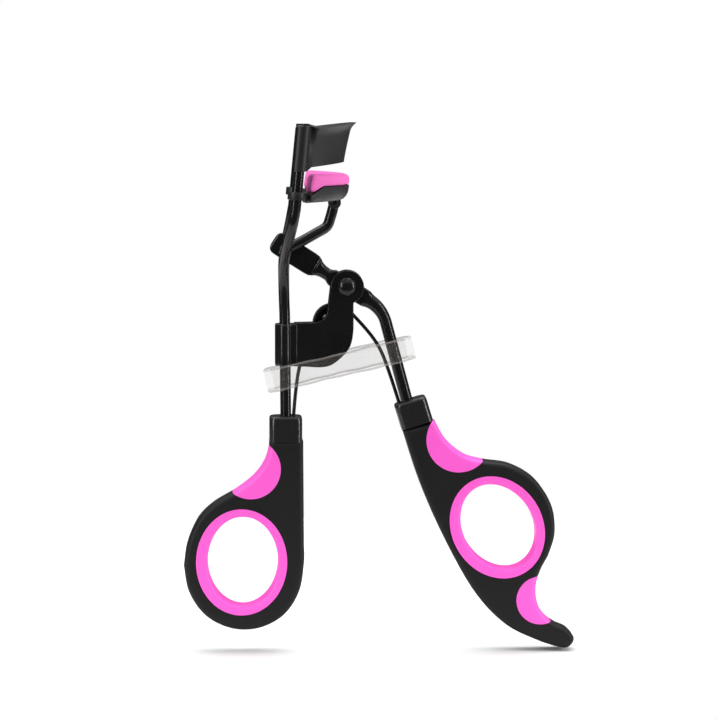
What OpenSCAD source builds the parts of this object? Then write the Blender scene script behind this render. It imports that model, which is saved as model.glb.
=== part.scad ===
// Eyelash curler with ring handles, a spring-loaded lever and a sliding lower jaw.
// X runs across the handles, Y along the jaw width and the pivot, Z up towards the jaws.
// The outlines are drawn about the lever's pivot and moved up to stand on the origin.

/* [Jaws] */
// Outer radius of the upper jaw's curve at its lower edge
jaw_r = 16.4; // [16:0.1:17]
// Height of the upper jaw plate
jaw_h = 9.2; // [8:0.2:10]
// Sheet thickness of the upper jaw
jaw_t = 0.9; // [0.7:0.1:1]
// Half of the angle that the jaw's curve covers
jaw_half_angle = 58; // [56:0.5:59]
// Lean of both jaws when they are closed
jaw_lean = 3; // [2:0.5:4]
// Extra tilt of the lower jaw in its loose guides when it is open
open_tilt = 7; // [6:0.5:8]
// How far the lower jaw is down the wires when it is open
open_drop = 1.0; // [0.8:0.1:1.2]

/* [Wires] */
// Diameter of the two frame wires
wire_d = 2.25; // [2.1:0.05:2.3]
// Distance between the wires at the jaws
wire_span = 30.4; // [30:0.2:31]
// Diameter of the lever's rod
rod_d = 2.7; // [2.4:0.1:2.8]
// Diameter of the push rod
push_d = 2.25; // [2:0.05:2.3]

/* [Hinge] */
// Sheet thickness of the hinge bracket
cheek_t = 0.8; // [0.6:0.1:0.9]
// Gap between the bracket's two cheeks
cheek_gap = 2.9; // [2.8:0.1:3]
// Diameter of the rivet that the lever turns on
rivet_d = 2.2; // [1.8:0.1:2.4]
// Diameter of the spring's wire
spring_d = 0.9; // [0.7:0.05:0.9]

/* [Handles] */
// Thickness of the handles
grip_t = 8; // [7:0.2:9]
// Half widths of the finger hole
hole_size = [8.1, 10.7];
// Half widths of the ring liner's outside
liner_size = [10.4, 12.4];
// Tilt of the right handle's ring
ring_tilt = 31; // [29:0.5:33]

/* [Band] */
// Height of the elastic band
band_h = 5.2; // [4.4:0.2:6]
// Slope of the elastic band
band_slope = 13; // [11:0.5:14]

/* [Hidden] */
$fn = 48;

// Height of the pivot over the lowest point and its distance from the middle of the box
base_z = 82.1;
centre_x = -7.362;

wire_r = wire_d / 2;
rod_r = rod_d / 2;
push_r = push_d / 2;
cheek_y = cheek_gap / 2;
// Radial play of pieces that turn on a pin, and of pieces pressed together
play = 0.06;
snug = 0.02;
inset_gap = 0.04;

// Lever: slope of its straight arm, the bend of its rod and the rod's slope below the bend
arm_slope = 32.5;
rod_slope = 75;
bend_r = 8;
arm_out = 6.3;
link_pivot = [-14.0, 8.4];
jaw_pivot = [-2.8, 18.9];

// Where the curve of the jaws has its centre, and the lower edge of the upper jaw
jaw_centre_x = -17.1;
jaw_z = 28;
guide = [-11.45, 21.4];
guide_h = 2.6;
guide_r = 2.25;
guide_play = 0.38;

// Handle sockets: top centre of each, and their section
socket_w = 7.3;
socket_l = 6;
left_socket_top = [-13.8, -28.4];
right_socket_top = [14.5, -25.2];

left_ring = [-23.8, -62.3];
right_ring = [33.9, -54.3];
ring_half = [13.4, 15];

spring_centre = [-3.2, -8.0];
spring_coil_r = 4.1;
spring_turns = 3;

// ---- helpers ----

// Moves a shape drawn about the pivot to its place over the origin
module at_pivot() {
    translate([centre_x, 0, base_z])
        children();
}

// Raises an outline drawn in X and Z to a plate between two depths
module plate(y0, y1) {
    translate([0, y1, 0])
        rotate([90, 0, 0])
            linear_extrude(height = y1 - y0)
                children();
}

// A straight pin or hole along Y
module cross_pin(p, r, y0, y1) {
    translate([p.x, y1, p.y])
        rotate([90, 0, 0])
            cylinder(r = r, h = y1 - y0);
}

function unit(v) = v / norm(v);
function turned(p, a) = [p.x * cos(a) - p.y * sin(a), p.x * sin(a) + p.y * cos(a)];

// Points of an elliptic or round arc, from one angle to another
function oval_arc(c, size, a0, a1, n = 12) =
    [for (i = [0:n]) let (a = a0 + (a1 - a0) * i / n) c + [size.x * cos(a), size.y * sin(a)]];
function arc(c, r, a0, a1, n = 12) = oval_arc(c, [r, r], a0, a1, n);

// An ellipse that is turned about its centre
function oval(c, size, tilt = 0, n = 64) =
    [for (i = [0:n - 1]) c + turned([size.x * cos(360 * i / n), size.y * sin(360 * i / n)], tilt)];

// A smooth run of points through a list of guide points
function through(a, b, c, d, t) =
    0.5 * (2 * b + (c - a) * t + (2 * a - 5 * b + 4 * c - d) * t * t
        + (3 * b - a - 3 * c + d) * t * t * t);
function at(p, i) = p[max(0, min(len(p) - 1, i))];
function smooth(p, n = 6) =
    concat([for (i = [0:len(p) - 2], j = [0:n - 1])
        through(at(p, i - 1), p[i], p[i + 1], at(p, i + 2), j / n)], [p[len(p) - 1]]);

// A round wire swept along points
function side_of(t) = unit(cross([0, 1, 0], t));
function tangent(p, i) = unit(at(p, i + 1) - at(p, i - 1));
module wire(path, r, sides = 16) {
    rings = len(path);
    points = [for (i = [0:rings - 1], j = [0:sides - 1])
        let (t = tangent(path, i), u = side_of(t), v = cross(t, u), a = 360 * j / sides)
            path[i] + r * (cos(a) * u + sin(a) * v)];
    walls = [for (i = [0:rings - 2], j = [0:sides - 1])
        let (k = (j + 1) % sides)
            [i * sides + j, (i + 1) * sides + j, (i + 1) * sides + k, i * sides + k]];
    first = [for (j = [0:sides - 1]) j];
    last = [for (j = [sides - 1:-1:0]) (rings - 1) * sides + j];
    polyhedron(points = points, faces = concat(walls, [first, last]));
}

// ---- frame ----

// A frame wire rises through the bracket, spreads out and runs straight up to the jaws
function frame_path(side) =
    concat([[-13.7, side * 1.16, -44], [-13.8, side * 1.16, -28], [-14.0, side * 1.16, -6]],
        smooth([[-14.1, side * 1.3, -3.5], [-14.2, side * 2.6, 1.5], [-14.1, side * 6, 6],
            [-13.3, side * 11, 10.5], [-12.4, side * 14.4, 14.6],
            [-11.8, side * wire_span / 2, 17.8]], 3),
        [[-9.9, side * wire_span / 2, 37.6]]);

module frame_wire(side) {
    color("#141414")
        at_pivot()
            wire(frame_path(side), wire_r);
}

module frame_wire_front() {
    frame_wire(-1);
}

module frame_wire_back() {
    frame_wire(1);
}

// Turns a shape that is drawn upright about the middle of the jaw's lower edge
module lean(angle) {
    translate([jaw_centre_x + jaw_r, 0, jaw_z])
        rotate([0, angle, 0])
            translate([-jaw_r, 0, 0])
                children();
}

module jaw_arc(half_angle) {
    rotate([0, 0, -half_angle])
        rotate_extrude(angle = 2 * half_angle, $fn = 96)
            children();
}

// Curved plate with a flared upper lip, its ends folded round the wires
module upper_jaw() {
    flare = 1.2;
    lip = 0.8;
    color("#181818")
        at_pivot()
            difference() {
                union() {
                    lean(jaw_lean)
                        jaw_arc(jaw_half_angle)
                            polygon([[jaw_r, 0], [jaw_r + flare, jaw_h - 1.4],
                                [jaw_r + flare + lip, jaw_h],
                                [jaw_r + flare + lip - 0.7, jaw_h + 0.3],
                                [jaw_r + flare - jaw_t, jaw_h - 1.2], [jaw_r - jaw_t, 0]]);
                    for (side = [-1, 1])
                        jaw_fold(side);
                }
                for (side = [-1, 1])
                    top_wire(side, wire_r + snug, 20);
            }
}

// The straight stretch of a frame wire beside the jaws, as a cylinder
wire_lean = atan2(1.9, 19.8);
module top_wire(side, r, h) {
    translate([-11.8, side * wire_span / 2, 17.8])
        rotate([0, wire_lean, 0])
            cylinder(r = r, h = h + 2);
}

module jaw_fold(side) {
    fold_wall = 0.42;
    translate([-11.8, side * wire_span / 2, 17.8])
        rotate([0, wire_lean, 0])
            translate([0.3, 0, 7.8])
                cylinder(r = wire_r + fold_wall, h = 12);
    translate([-8.9, side * (wire_span / 2 - 1.05), jaw_z + 0.45])
        rotate([0, wire_lean, 0])
            translate([-1.3, -0.9, 0])
                cube([1.9, 1.8, jaw_h - 0.6]);
}

// Bent sheet that grips both wires and carries the lever between two ears
module cheek_outline() {
    circle(r = 3.8);
    polygon(concat([[-11.9, -17.7]], arc([-4.2, -13.2], 4.5, -90, -20),
        [[1.1, -10.5], [1.3, -6.5], [1.3, -2], [-3.8, 0.2]],
        arc([-7.4, -4.9], 3, 0, -90), [[-11.9, -8.1]]));
}

module hinge_bracket() {
    collar_top = -8.2;
    collar_h = 9.5;
    color("#151515")
        at_pivot()
            difference() {
                union() {
                    translate([-16.2, 0, collar_top - collar_h])
                        linear_extrude(height = collar_h)
                            translate([2.45, 0])
                                offset(r = 2)
                                    square([0.9, 2.2], center = true);
                    for (side = [-1, 1])
                        plate(side * (cheek_y + cheek_t / 2) - cheek_t / 2,
                            side * (cheek_y + cheek_t / 2) + cheek_t / 2)
                            cheek_outline();
                }
                translate([-12.6, -cheek_y, -20])
                    cube([4, cheek_gap, 14]);
                for (side = [-1, 1])
                    translate([-13.98, side * 1.16, -20])
                        cylinder(r = wire_r + 0.12, h = 14);
                cross_pin([0, 0], rivet_d / 2 + snug, -5, 5);
            }
}

// Rivet with a domed head on each side
module pivot_rivet() {
    head_r = 2.15;
    head_h = 0.95;
    ball_r = (head_r * head_r + head_h * head_h) / (2 * head_h);
    face_y = cheek_y + cheek_t;
    color("#202020")
        at_pivot()
            rotate([90, 0, 0]) {
                cylinder(r = rivet_d / 2, h = 2 * face_y, center = true);
                for (side = [0, 1])
                    mirror([0, 0, side])
                        translate([0, 0, face_y])
                            rotate_extrude()
                                polygon(concat([[0, 0], [head_r, 0]],
                                    arc([0, head_h - ball_r], ball_r, asin((ball_r - head_h) / ball_r),
                                        90, 8)));
            }
}

// Torsion spring: a coil between the cheeks and one leg to each handle
function coil_point(a, y) =
    [spring_centre.x + spring_coil_r * cos(a), y, spring_centre.y + spring_coil_r * sin(a)];
function spring_path() =
    let (steps = 54, a0 = 180, total = 360 * (spring_turns - 1) + 130, y0 = -0.97, y1 = 0.97)
        concat(
            smooth([[-11.9, -1.0, -32], [-11.7, -1.0, -28.4], [-11.2, -1.0, -23], [-10.6, -1.0, -18],
                [-9.0, -0.98, -13.4], coil_point(a0 + 8, y0)], 3),
            [for (i = [1:steps]) coil_point(a0 - total * i / steps, y0 + (y1 - y0) * i / steps)],
            smooth([[1.6, 0.97, -5.9], [4.9, 0.97, -10.3], [7.5, 0.97, -14.2], [9.4, 1.1, -19],
                [11.5, 1.3, -25.4], [12.9, 1.4, -30]], 3));

module torsion_spring() {
    color("#0e0e0e")
        at_pivot()
            wire(spring_path(), spring_d / 2, 8);
}

// Clear elastic band looped round the wires and the lever's rod
module band_frame() {
    translate([-1.55, 0, -17.35])
        rotate([0, -band_slope, 0])
            children();
}

module elastic_band() {
    out_x = 17.7;
    out_y = 4.2;
    in_x = 15.2;
    in_y = 3.2;
    color([0.85, 0.84, 0.83, 0.5])
        at_pivot()
            band_frame()
                difference() {
                    translate([0, 0, -band_h / 2])
                        linear_extrude(height = band_h)
                            offset(r = 2.6)
                                square([2 * (out_x - 2.6), 2 * (out_y - 2.6)], center = true);
                    translate([0, 0, -band_h])
                        linear_extrude(height = 2 * band_h)
                            offset(r = 1.8)
                                square([2 * (in_x - 1.8), 2 * (in_y - 1.8)], center = true);
                }
}

// ---- handles ----

// Hard glossy socket with a tongue that the grip is moulded over
module socket_body(tongue_x) {
    translate([0, 0, -socket_l])
        linear_extrude(height = socket_l)
            offset(r = 1.4)
                square([socket_w - 2.8, grip_t - 0.4 - 2.8], center = true);
    translate([tongue_x - 2.1, -2.4, -21])
        cube([4.2, 4.8, 21 - socket_l]);
}

module left_frame() {
    translate([left_socket_top.x, 0, left_socket_top.y])
        children();
}

module right_frame() {
    translate([right_socket_top.x, 0, right_socket_top.y])
        rotate([0, rod_slope - 90, 0])
            children();
}

module left_socket() {
    color("#101010")
        at_pivot()
            difference() {
                left_frame()
                    socket_body(0);
                for (side = [-1, 1])
                    wire(frame_path(side), wire_r + snug);
                wire(spring_path(), spring_d / 2 + snug, 8);
            }
}

module ring_hole(c, tilt) {
    polygon(oval(c, hole_size, tilt));
}

// Left handle: ring, stem and the web that closes the corner between them
module left_outline() {
    difference() {
        polygon(concat([[-17.5, -34.4], [-9.9, -34.4]],
            oval_arc(left_ring + [0.3, -0.1], ring_half, 0, -212, 48),
            [[-32.3, -50.6], [-29.6, -48], [-26.9, -46.4], [-25, -40]]));
        thumb_bay();
    }
}

module thumb_bay() {
    translate([-29.5, -34.4])
        circle(r = 12);
}

module left_inset_outline(gap = 0) {
    intersection() {
        left_outline();
        translate([-21.6, -41])
            circle(r = 6.8 - gap);
    }
}

// Room in a handle for the tongue of its socket
module tongue_space(x) {
    translate([x, -2.4, -21])
        cube([4.2, 4.8, 21]);
}

module left_grip() {
    color("#1c1c1c")
        at_pivot()
            difference() {
                plate(-grip_t / 2, grip_t / 2)
                    difference() {
                        left_outline();
                        left_inset_outline();
                        polygon(oval(left_ring, liner_size));
                    }
                left_frame()
                    tongue_space(-2.1);
            }
}

module left_thumb_inset() {
    color("#ff69dd")
        at_pivot()
            difference() {
                plate(-grip_t / 2 - 0.1, grip_t / 2 + 0.1)
                    left_inset_outline(inset_gap);
                left_frame()
                    tongue_space(-2.1);
            }
}

// Soft ring that lines a finger hole
module ring_liner(c, tilt) {
    color("#ff69dd")
        at_pivot()
            plate(-grip_t / 2 - 0.2, grip_t / 2 + 0.2)
                difference() {
                    polygon(oval(c, liner_size, tilt));
                    ring_hole(c, tilt);
                }
}

module left_ring_liner() {
    ring_liner(left_ring, 0);
}

module right_socket() {
    color("#101010")
        at_pivot()
            difference() {
                right_frame()
                    socket_body(-0.8);
                wire(lever_path(), rod_r + snug);
                wire(spring_path(), spring_d / 2 + snug, 8);
            }
}

// Right handle: a swept curve down the outside, out to the tail and back round the ring
module right_outline() {
    difference() {
        polygon(concat(
            smooth([[12.4, -31.9], [15.4, -42.2], [19.0, -51.6], [22.8, -59.8], [26.8, -66.6],
                [31.6, -72.4], [36.0, -76.2], [41.0, -79.2], [45.8, -81.1], [49.2, -82.1],
                [51.4, -81.3], [51.3, -79.3], [49.2, -77.5], [45.9, -75.9]], 5),
            [[43, -72], [43, -66]],
            smooth([[43.3, -65.2], [45.8, -60.8], [47.0, -56], [46.5, -51.6], [44.4, -47.4],
                [41.2, -43.6], [36.6, -40.4], [31.2, -38.9]], 4),
            [[24, -35], [19.6, -30.0]]));
        finger_bay();
        tail_bay();
    }
}

module finger_bay() {
    translate([31.6, -27])
        circle(r = 11.9);
}

module tail_bay() {
    translate([53, -69.6])
        circle(r = 10.2);
}

module finger_inset_outline(gap = 0) {
    intersection() {
        right_outline();
        translate([24.3, -35])
            circle(r = 6.8 - gap);
    }
}

module tail_inset_outline(gap = 0) {
    intersection() {
        right_outline();
        translate([44.2, -71.2])
            circle(r = 5.6 - gap);
    }
}

module right_grip() {
    color("#1c1c1c")
        at_pivot()
            difference() {
                plate(-grip_t / 2, grip_t / 2)
                    difference() {
                        right_outline();
                        finger_inset_outline();
                        tail_inset_outline();
                        polygon(oval(right_ring, liner_size, ring_tilt));
                    }
                right_frame() {
                    tongue_space(-2.9);
                    translate([-6, -grip_t, -socket_l])
                        cube([12, 2 * grip_t, 10]);
                }
            }
}

module right_finger_inset() {
    color("#ff69dd")
        at_pivot()
            difference() {
                plate(-grip_t / 2 - 0.1, grip_t / 2 + 0.1)
                    finger_inset_outline(inset_gap);
                right_frame()
                    tongue_space(-2.9);
            }
}

module right_tail_inset() {
    color("#ff69dd")
        at_pivot()
            plate(-grip_t / 2 - 0.1, grip_t / 2 + 0.1)
                tail_inset_outline(inset_gap);
}

module right_ring_liner() {
    ring_liner(right_ring, ring_tilt);
}

// ---- lever and jaw ----

// The lever's rod, from the end of its flat arm down into the right socket
function lever_path() =
    let (h = [cos(arm_slope), -sin(arm_slope)], start = arm_out * h,
        c = start + bend_r * [h.y, -h.x], bend = arc(c, bend_r, 90 - arm_slope, 90 - rod_slope, 6),
        down = [cos(rod_slope), -sin(rod_slope)], foot = bend[6] + 35 * down,
        p = concat([-10 * h, start], [for (i = [1:6]) bend[i]], [foot]))
        [for (q = p) [q.x, 0, q.y]];

// One forged rod: a round neck, a flat eye on the pivot and a flat paddle at its end
module lever_rod() {
    eye_t = 2.5;
    paddle_t = 1.3;
    color("#151515")
        at_pivot()
            difference() {
                union() {
                    wire(lever_path(), rod_r);
                    plate(-eye_t / 2, eye_t / 2)
                        rotate(-arm_slope)
                            translate([-4, -1.95])
                                square([9, 3.9]);
                    plate(-paddle_t / 2, paddle_t / 2)
                        rotate(-arm_slope) {
                            translate([-17.2, 0])
                                circle(r = 2.5);
                            polygon([[-17.2, -2.5], [-9, -2.5], [-8.2, -1.9], [-8.2, 1.9],
                                [-9, 2.5], [-17.2, 2.5]]);
                        }
                }
                rotate([0, arm_slope, 0])
                    translate([-20, -5, -5])
                        paddle_relief(paddle_t);
                cross_pin([0, 0], rivet_d / 2 + play, -5, 5);
                cross_pin(link_pivot, 0.8 + play, -5, 5);
            }
}

// Clears the round rod from both sides of the paddle
module paddle_relief(t) {
    for (y = [0, 5 + t / 2])
        translate([0, y, 0])
            cube([11.8, 5 - t / 2, 10]);
}

// Bent rod with an eye at the lower jaw and a cranked end through the paddle
function push_path() =
    smooth([[-2.85, 0, 18.2], [-3.6, 0, 15.6], [-4.4, 0, 13.4], [-6.8, -0.9, 12.05],
        [-10.5, -1.92, 10.15], [link_pivot.x, -2.1, link_pivot.y]], 4);

module push_rod() {
    color("#151515")
        at_pivot()
            difference() {
                union() {
                    wire(push_path(), push_r);
                    cross_pin(jaw_pivot, 1.45, -1, 1);
                    cross_pin(link_pivot, 1.35, -3.3, -0.75);
                    cross_pin(link_pivot, 0.8, -1.5, 1);
                    cross_pin(link_pivot, 1.25, 0.75, 1.25);
                }
                cross_pin(jaw_pivot, 0.7 + play, -5, 5);
            }
}

// Puts a lower-jaw shape from its closed place to its open place
module jaw_open() {
    translate([guide.x, 0, guide.y])
        rotate([0, open_tilt, 0])
            translate([-guide.x - open_drop * sin(wire_lean), 0,
                -guide.y - open_drop * cos(wire_lean)])
                children();
}

module jaw_pin() {
    color("#202020")
        at_pivot()
            cross_pin(jaw_pivot, 0.7, -2.2, 2.2);
}

// Heights of the channel and of the pad under the upper jaw's lower edge
pad_gap = 0.1;
pad_h = 3.0;
channel_h = 3.5;
channel_in = jaw_r - 2.3;
channel_out = jaw_r + 1.3;

// Curved channel with a guide eye on each wire and two lugs for the push rod
module jaw_holder() {
    wall = 0.7;
    rim = -pad_gap - pad_h;
    floor_z = rim - channel_h;
    color("#131313")
        at_pivot()
            difference() {
                union() {
                    jaw_open()
                        lean(jaw_lean)
                            jaw_arc(jaw_half_angle)
                                polygon([[channel_in, rim], [channel_in, floor_z],
                                    [channel_out - 1.2, floor_z], [channel_out - 0.3, floor_z + 1],
                                    [channel_out, rim], [channel_out - wall, rim],
                                    [channel_out - wall, rim - 1.8], [channel_in + wall, rim - 1.8],
                                    [channel_in + wall, rim]]);
                    for (side = [-1, 1]) {
                        guide_eye(side);
                        plate(side * 1.7 - 0.45, side * 1.7 + 0.45)
                            jaw_lug();
                    }
                }
                for (side = [-1, 1])
                    translate([0, 0, -2])
                        top_wire(side, wire_r + guide_play, 14);
                cross_pin(jaw_pivot, 0.7 + snug, -5, 5);
                cross_pin(jaw_pivot, 1.75, -1.22, 1.22);
            }
}

module guide_eye(side) {
    translate([guide.x, side * wire_span / 2, guide.y])
        rotate([0, wire_lean, 0])
            cylinder(r = guide_r, h = guide_h, center = true);
    translate([guide.x + 0.8, side * (wire_span / 2 - 1.9) - 1, guide.y - guide_h / 2 + 0.1])
        cube([2.6, 2, 1.6]);
}

module jaw_lug() {
    translate(jaw_pivot)
        circle(r = 1.4);
    translate(jaw_pivot - [1.4, 0])
        square([2.8, 2.0]);
}

// Silicone pad: a rib held in the channel and a rounded crown that stands above it
module lash_pad() {
    rim = -pad_gap - pad_h;
    color("#ff69c8")
        at_pivot()
            jaw_open()
                lean(jaw_lean)
                    jaw_arc(jaw_half_angle - 1)
                        polygon([[channel_in + 0.75, rim - 1.75], [channel_out - 0.75, rim - 1.75],
                            [channel_out - 0.75, rim + 0.03], [channel_out - 0.1, rim + 0.03],
                            [channel_out - 0.1, -pad_gap - 1.2], [channel_out - 0.7, -pad_gap - 0.3],
                            [channel_out - 1.6, -pad_gap], [channel_in + 1.1, -pad_gap],
                            [channel_in + 0.3, -pad_gap - 0.5], [channel_in + 0.1, rim + 0.03],
                            [channel_in + 0.75, rim + 0.03]]);
}

frame_wire_front();
frame_wire_back();
upper_jaw();
hinge_bracket();
pivot_rivet();
torsion_spring();
elastic_band();
left_socket();
left_grip();
left_thumb_inset();
left_ring_liner();
lever_rod();
right_socket();
right_grip();
right_finger_inset();
right_tail_inset();
right_ring_liner();
push_rod();
jaw_pin();
jaw_holder();
lash_pad();
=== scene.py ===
"""Eyelash curler with ring handles: detailed pieces, finishes and a plain studio."""

import math

import bmesh
import bpy
import numpy as np
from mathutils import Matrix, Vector
from mathutils.geometry import delaunay_2d_cdt


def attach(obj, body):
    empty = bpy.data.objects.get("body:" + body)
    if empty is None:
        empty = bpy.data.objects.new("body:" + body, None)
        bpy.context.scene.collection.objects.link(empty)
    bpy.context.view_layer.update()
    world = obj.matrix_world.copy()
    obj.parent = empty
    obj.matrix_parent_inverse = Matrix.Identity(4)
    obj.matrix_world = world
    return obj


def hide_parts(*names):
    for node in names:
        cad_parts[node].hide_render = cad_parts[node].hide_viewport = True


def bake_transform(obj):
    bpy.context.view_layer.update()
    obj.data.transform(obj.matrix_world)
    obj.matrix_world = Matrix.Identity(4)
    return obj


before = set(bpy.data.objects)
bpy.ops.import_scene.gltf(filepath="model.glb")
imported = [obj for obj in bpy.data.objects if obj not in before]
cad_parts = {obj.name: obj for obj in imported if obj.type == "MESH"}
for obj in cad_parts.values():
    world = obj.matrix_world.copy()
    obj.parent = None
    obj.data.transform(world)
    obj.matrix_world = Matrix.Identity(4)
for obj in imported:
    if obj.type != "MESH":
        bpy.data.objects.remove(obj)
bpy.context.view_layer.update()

bl_info = {
    "name": "Eyelash Curler",
    "version": (1, 0, 0),
    "blender": (4, 5, 0),
    "location": "3D View > Sidebar > Curler",
    "description": "Builds the pieces of an eyelash curler with ring handles",
    "category": "Object",
}

MM = 0.001
# The lever's pivot over the origin, in millimetres. Shapes are drawn about the pivot.
PIVOT = (-7.362, 0.0, 82.1)

# The frame wires: how far they run from the middle, beside the jaws and in the collar, where
# their straight top stretch begins, and how it leans.
WIRE_OUT = 15.2
WIRE_IN = 1.16
WIRE_KNEE = (-11.8, 17.8)
WIRE_RUN = (1.9, 19.8)
WIRE_LEAN = math.atan2(*WIRE_RUN)
# The lever: how steeply its arm and its rod go down to the right.
ARM_SLOPE = math.radians(32.5)
ROD_SLOPE = math.radians(75)
LINK_PIVOT = (-14.0, 8.4)
JAW_PIVOT = (-2.8, 18.9)
# The jaws: the centre and radius of their curve, the height, thickness and lean of the upper
# plate, and the angle to the middle at which it turns into its folds.
JAW_CENTRE_X = -17.1
JAW_R = 16.4
JAW_Z = 28.0
JAW_T = 0.9
JAW_LEAN = math.radians(3)
JAW_END = 57.0
# The folds round the wires: where they start, their step in degrees, their middle radius and
# half of their sheet's thickness.
FOLD_FROM, FOLD_STEP, FOLD_STEPS = 128, 17, 8
FOLD_R = 1.54
FOLD_HALF = 0.26
# The lower jaw at rest: its guide eyes, how it tips about them and how far it is set down.
GUIDE = (-11.45, 21.4)
JAW_TIP = math.radians(5)
JAW_DOWN = 1.0
# The lower jaw's parts end at these angles.
CHANNEL_END = 59.0
PAD_END = 55.3
# The handles: ring centres, the right ring's turn, the half sizes of holes and liners, and half
# of the thickness of the grips, insets and liners.
LEFT_RING = (-23.8, -61.75)
RIGHT_RING = (33.7, -54.05)
RING_TILT = math.radians(31)
HOLE = (7.9, 10.1)
HOLE_SHIFT = (0.3, 0.1)
LINER = (10.25, 12.0)
GRIP_HALF, INSET_HALF, LINER_HALF = 4.0, 4.08, 4.18
# The handles' insets: the centre and radius of the circle that bounds each one.
THUMB_INSET = ((-21.7, -40.75), 6.75)
FINGER_INSET = ((25.0, -34.3), 7.3)
TAIL_INSET = ((43.5, -70.65), 5.45)
# Mouldings: the fine groove at a seam, the depths of the rings of points along the edge, and
# the rows up the wall.
GROOVE = 0.07
RING_DEPTHS = (0.07, 0.2, 0.42, 0.72, 1.1, 1.6)
WALL_LEVELS = np.linspace(-1, 1, 7)[1:-1]


# ---- sizes and colours ----


class CurlerSizes(bpy.types.PropertyGroup):
    edge_round: bpy.props.FloatProperty(
        name="Grip rounding", description="Rounding of the handles' edges, in millimetres",
        default=1.3, min=0.4, max=2.5)
    liner_round: bpy.props.FloatProperty(
        name="Liner rounding", description="Rounding at the finger holes, in millimetres",
        default=1.0, min=0.3, max=1.6)
    wire_radius: bpy.props.FloatProperty(
        name="Wire radius", description="Radius of the frame wires and the push rod, in millimetres",
        default=1.2, min=0.9, max=1.3)
    spring_radius: bpy.props.FloatProperty(
        name="Spring wire radius", description="Radius of the spring's wire, in millimetres",
        default=0.4, min=0.3, max=0.6)
    wire_sides: bpy.props.IntProperty(
        name="Wire sides", description="Number of sides of a swept wire", default=32, min=8, max=64)


def colour_of(name, description, default):
    return bpy.props.FloatVectorProperty(
        name=name, description=description, default=default, subtype="COLOR", size=3, min=0, max=1)


class CurlerColours(bpy.types.PropertyGroup):
    enamel: colour_of("Enamel", "Colour of the painted metal", (0.0045, 0.0045, 0.0048))
    grip: colour_of("Grip", "Colour of the moulded handles", (0.0075, 0.0076, 0.0075))
    accent: colour_of("Accent", "Colour of the soft insets and liners", (0.95, 0.105, 0.62))
    pad: colour_of("Pad", "Colour of the lash pad", (0.86, 0.10, 0.48))
    band: colour_of("Band", "Tint of the clear band", (0.29, 0.265, 0.25))


# ---- shader maths ----


class Value:
    """A node's output that takes part in Python arithmetic."""

    def __init__(self, socket):
        self.socket = socket

    def _math(self, operation, *values):
        return add_node(self.socket.node.id_data, "ShaderNodeMath",
                        {"operation": operation}, dict(enumerate(values)))[0]

    def __add__(self, other):
        return self._math("ADD", self, other)

    def __radd__(self, other):
        return self._math("ADD", other, self)

    def __sub__(self, other):
        return self._math("SUBTRACT", self, other)

    def __rsub__(self, other):
        return self._math("SUBTRACT", other, self)

    def __mul__(self, other):
        return self._math("MULTIPLY", self, other)

    def __rmul__(self, other):
        return self._math("MULTIPLY", other, self)


def set_inputs(node, inputs):
    """Feeds a node's inputs, each with a plain value or with another node's output."""
    for key, value in inputs.items():
        if isinstance(value, Value):
            node.id_data.links.new(value.socket, node.inputs[key])
        else:
            node.inputs[key].default_value = value


def add_node(tree, kind, settings=None, inputs=None):
    """Adds a node, sets it, feeds its inputs and returns its outputs."""
    node = tree.nodes.new(kind)
    for name, value in (settings or {}).items():
        setattr(node, name, value)
    set_inputs(node, inputs or {})
    return [Value(s) for s in node.outputs]


def noise(tree, place, scale, detail=2.0):
    return add_node(tree, "ShaderNodeTexNoise", None,
                    {"Vector": place, "Scale": scale, "Detail": detail})[0]


def mix_colour(tree, factor, a, b):
    return add_node(tree, "ShaderNodeMix", {"data_type": "RGBA"},
                    {0: factor, 6: (*a, 1), 7: (*b, 1)})[2]


def new_finish(name):
    """A material with its shader, its tree and the place on the object."""
    made = bpy.data.materials.new(name)
    made.use_nodes = True
    tree = made.node_tree
    shader = tree.nodes["Principled BSDF"]
    place = add_node(tree, "ShaderNodeTexCoord")[3]
    return made, tree, shader, place


def shade_of(tree):
    """The shade attribute a mesh carries at each point: painted shade on the pad, more opacity along
    the band's rims.
    """
    return add_node(tree, "ShaderNodeAttribute", {"attribute_name": "shade"})[2]


def bump(tree, height, strength, distance):
    return add_node(tree, "ShaderNodeBump", None,
                    {"Strength": strength, "Distance": distance, "Height": height})[0]


def enamel_finish(name, colour, base_rough, spread, coat):
    """Sprayed black enamel: a faint orange peel and small changes of gloss."""
    made, tree, shader, place = new_finish(name)
    cloud = noise(tree, place, 160.0)
    peel = noise(tree, place, 1500.0, 1.0)
    dust = noise(tree, place, 5200.0, 3.0)
    set_inputs(shader, {
        "Base Color": mix_colour(tree, cloud, colour, [c * 1.7 for c in colour]),
        "Roughness": base_rough + spread * cloud + 0.03 * dust,
        "Normal": bump(tree, peel + 0.25 * dust, 0.12, 0.00005),
        "Coat Weight": coat, "Coat Roughness": 0.07, "Specular IOR Level": 0.24})
    return made


def grip_finish(name, colour):
    """Soft-touch moulded plastic with a very fine texture."""
    made, tree, shader, place = new_finish(name)
    cloud = noise(tree, place, 90.0)
    grain = noise(tree, place, 4200.0, 4.0)
    set_inputs(shader, {
        "Base Color": mix_colour(tree, cloud, colour, [c * 1.5 for c in colour]),
        "Roughness": 0.42 + 0.06 * cloud + 0.06 * grain,
        "Normal": bump(tree, grain, 0.16, 0.00006), "Specular IOR Level": 0.18})
    return made


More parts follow.
